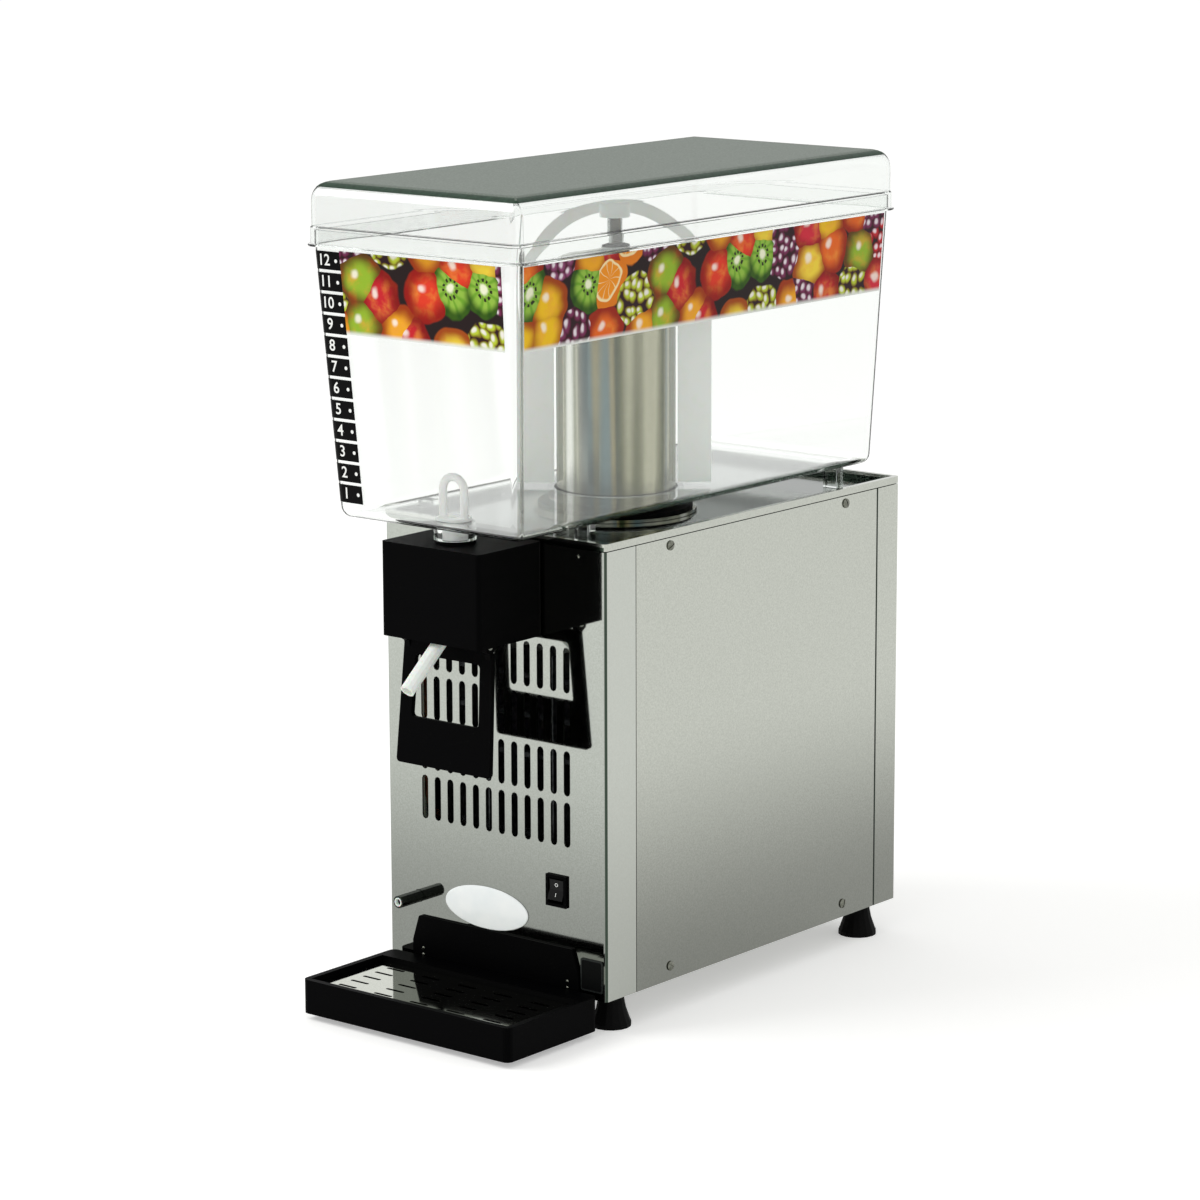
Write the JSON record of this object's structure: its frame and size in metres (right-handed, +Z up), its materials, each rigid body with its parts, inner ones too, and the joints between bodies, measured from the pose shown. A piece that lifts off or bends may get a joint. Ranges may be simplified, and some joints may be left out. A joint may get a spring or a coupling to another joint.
{
  "type": "refrigerated juice dispenser",
  "caption": "Countertop chilled juice dispenser: clear tapered bowl on a polished steel cabinet, cooled drum with paddle agitator, pinch-tube lever tap and lift-out drip tray.",
  "frame": {"origin": "middle of the bounding box's footprint, on the table under the feet", "axes": "+Z up, +X to the right seen from the front, front with tap and drip tray facing -Y"},
  "size_m": [0.21, 0.4736, 0.6184],
  "materials": {
    "polished_steel": "mirror-polished stainless sheet",
    "casing_steel": "satin stainless sheet",
    "drum_steel": "mirror-polished stainless",
    "dark_steel": "dark satin steel",
    "zinc_steel": "zinc-plated steel",
    "black_plastic": "moulded black plastic",
    "clear_plastic": "clear moulded polycarbonate",
    "lid_plastic": "translucent grey-green with a grained top",
    "milky_plastic": "milky translucent plastic",
    "white_plastic": "white moulded plastic",
    "black_rubber": "black rubber",
    "silicone": "translucent silicone",
    "black_paint": "black stove enamel",
    "aluminium": "plain aluminium",
    "copper": "plain copper"
  },
  "bodies": {
    "cabinet": {"front_panel": "polished_steel", "rear_panel": "casing_steel", "side_panel_left": "casing_steel", "side_panel_right": "casing_steel", "top_deck": "casing_steel", "evaporator_drum": "drum_steel", "drain_spout": "dark_steel", "base_pan": "zinc_steel", "lever_pin": "zinc_steel", "fan_shroud": "zinc_steel", "motor_bracket": "zinc_steel", "tap_housing": "black_plastic", "tray_holder": "black_plastic", "switch_bezel": "black_plastic", "cord_gland": "black_plastic", "terminal_box": "black_plastic", "shaft_bush_upper": "white_plastic", "shaft_bush_lower": "white_plastic", "thermostat": "white_plastic", "foot_front_left": "black_rubber", "foot_front_right": "black_rubber", "foot_rear_left": "black_rubber", "foot_rear_right": "black_rubber", "drum_gasket": "black_rubber", "shaft_seal": "black_rubber", "outlet_seal": "black_rubber", "compressor_grommet_1": "black_rubber", "compressor_grommet_2": "black_rubber", "compressor_grommet_3": "black_rubber", "compressor_grommet_4": "black_rubber", "spout_tube": "silicone", "drain_hose": "silicone", "fan_motor": "black_paint", "compressor": "black_paint", "agitator_motor": "black_paint", "condenser": "aluminium", "suction_pipe": "copper", "discharge_pipe": "copper", "liquid_pipe": "copper"},
    "shaft": {"drive_shaft": "zinc_steel"},
    "fan": {"fan_blades": "aluminium"},
    "lever": {"tap_lever": "black_plastic", "pinch_bar": "zinc_steel", "lever_spring": "zinc_steel"},
    "rocker": {"switch_rocker": "black_plastic"},
    "tank": {"bowl": "clear_plastic"},
    "cover": {"lid": "lid_plastic"},
    "agitator": {"agitator_hoop": "milky_plastic"},
    "outlet": {"outlet_fitting": "white_plastic"},
    "tray": {"drip_tray": "black_plastic"},
    "grid": {"drip_grid": "polished_steel"}
  },
  "joints": [
    {"name": "shaft_spin", "type": "hinge", "parent": "cabinet", "child": "shaft", "pos_m": [0, 0.00845, 0.34], "axis": [0, 0, 1], "continuous": true},
    {"name": "fan_spin", "type": "hinge", "parent": "cabinet", "child": "fan", "pos_m": [0, -0.07225, 0.192], "axis": [0, 1, 0], "continuous": true},
    {"name": "lever_press", "type": "hinge", "parent": "cabinet", "child": "lever", "pos_m": [0, -0.16225, 0.308], "axis": [1, 0, 0], "range_deg": [0, 12], "stiffness_Nm_per_rad": 1, "springref_deg": -17.19},
    {"name": "switch_rock", "type": "hinge", "parent": "cabinet", "child": "rocker", "pos_m": [0.059, -0.12925, 0.1027], "axis": [1, 0, 0], "range_deg": [0, 16]},
    {"name": "bowl_lift", "type": "slide", "parent": "cabinet", "child": "tank", "axis": [0, 0, 1], "range_m": [0, 0.24]},
    {"name": "lid_lift", "type": "slide", "parent": "tank", "child": "cover", "axis": [0, 0, 1], "range_m": [0, 0.12]},
    {"name": "outlet_pull", "type": "slide", "parent": "tank", "child": "outlet", "axis": [0, 0, 1], "range_m": [0, 0.1]},
    {"name": "agitator_spin", "type": "hinge", "parent": "tank", "child": "agitator", "pos_m": [0, 0.00845, 0.58], "axis": [0, 0, 1], "continuous": true},
    {"name": "tray_slide", "type": "slide", "parent": "cabinet", "child": "tray", "axis": [0, -1, 0], "range_m": [0, 0.15]},
    {"name": "grid_lift", "type": "slide", "parent": "tray", "child": "grid", "axis": [0, 0, 1], "range_m": [0, 0.035]}
  ],
  "couplings": [
    {"joint": "agitator_spin", "follows": "shaft_spin", "ratio": 1}
  ]
}
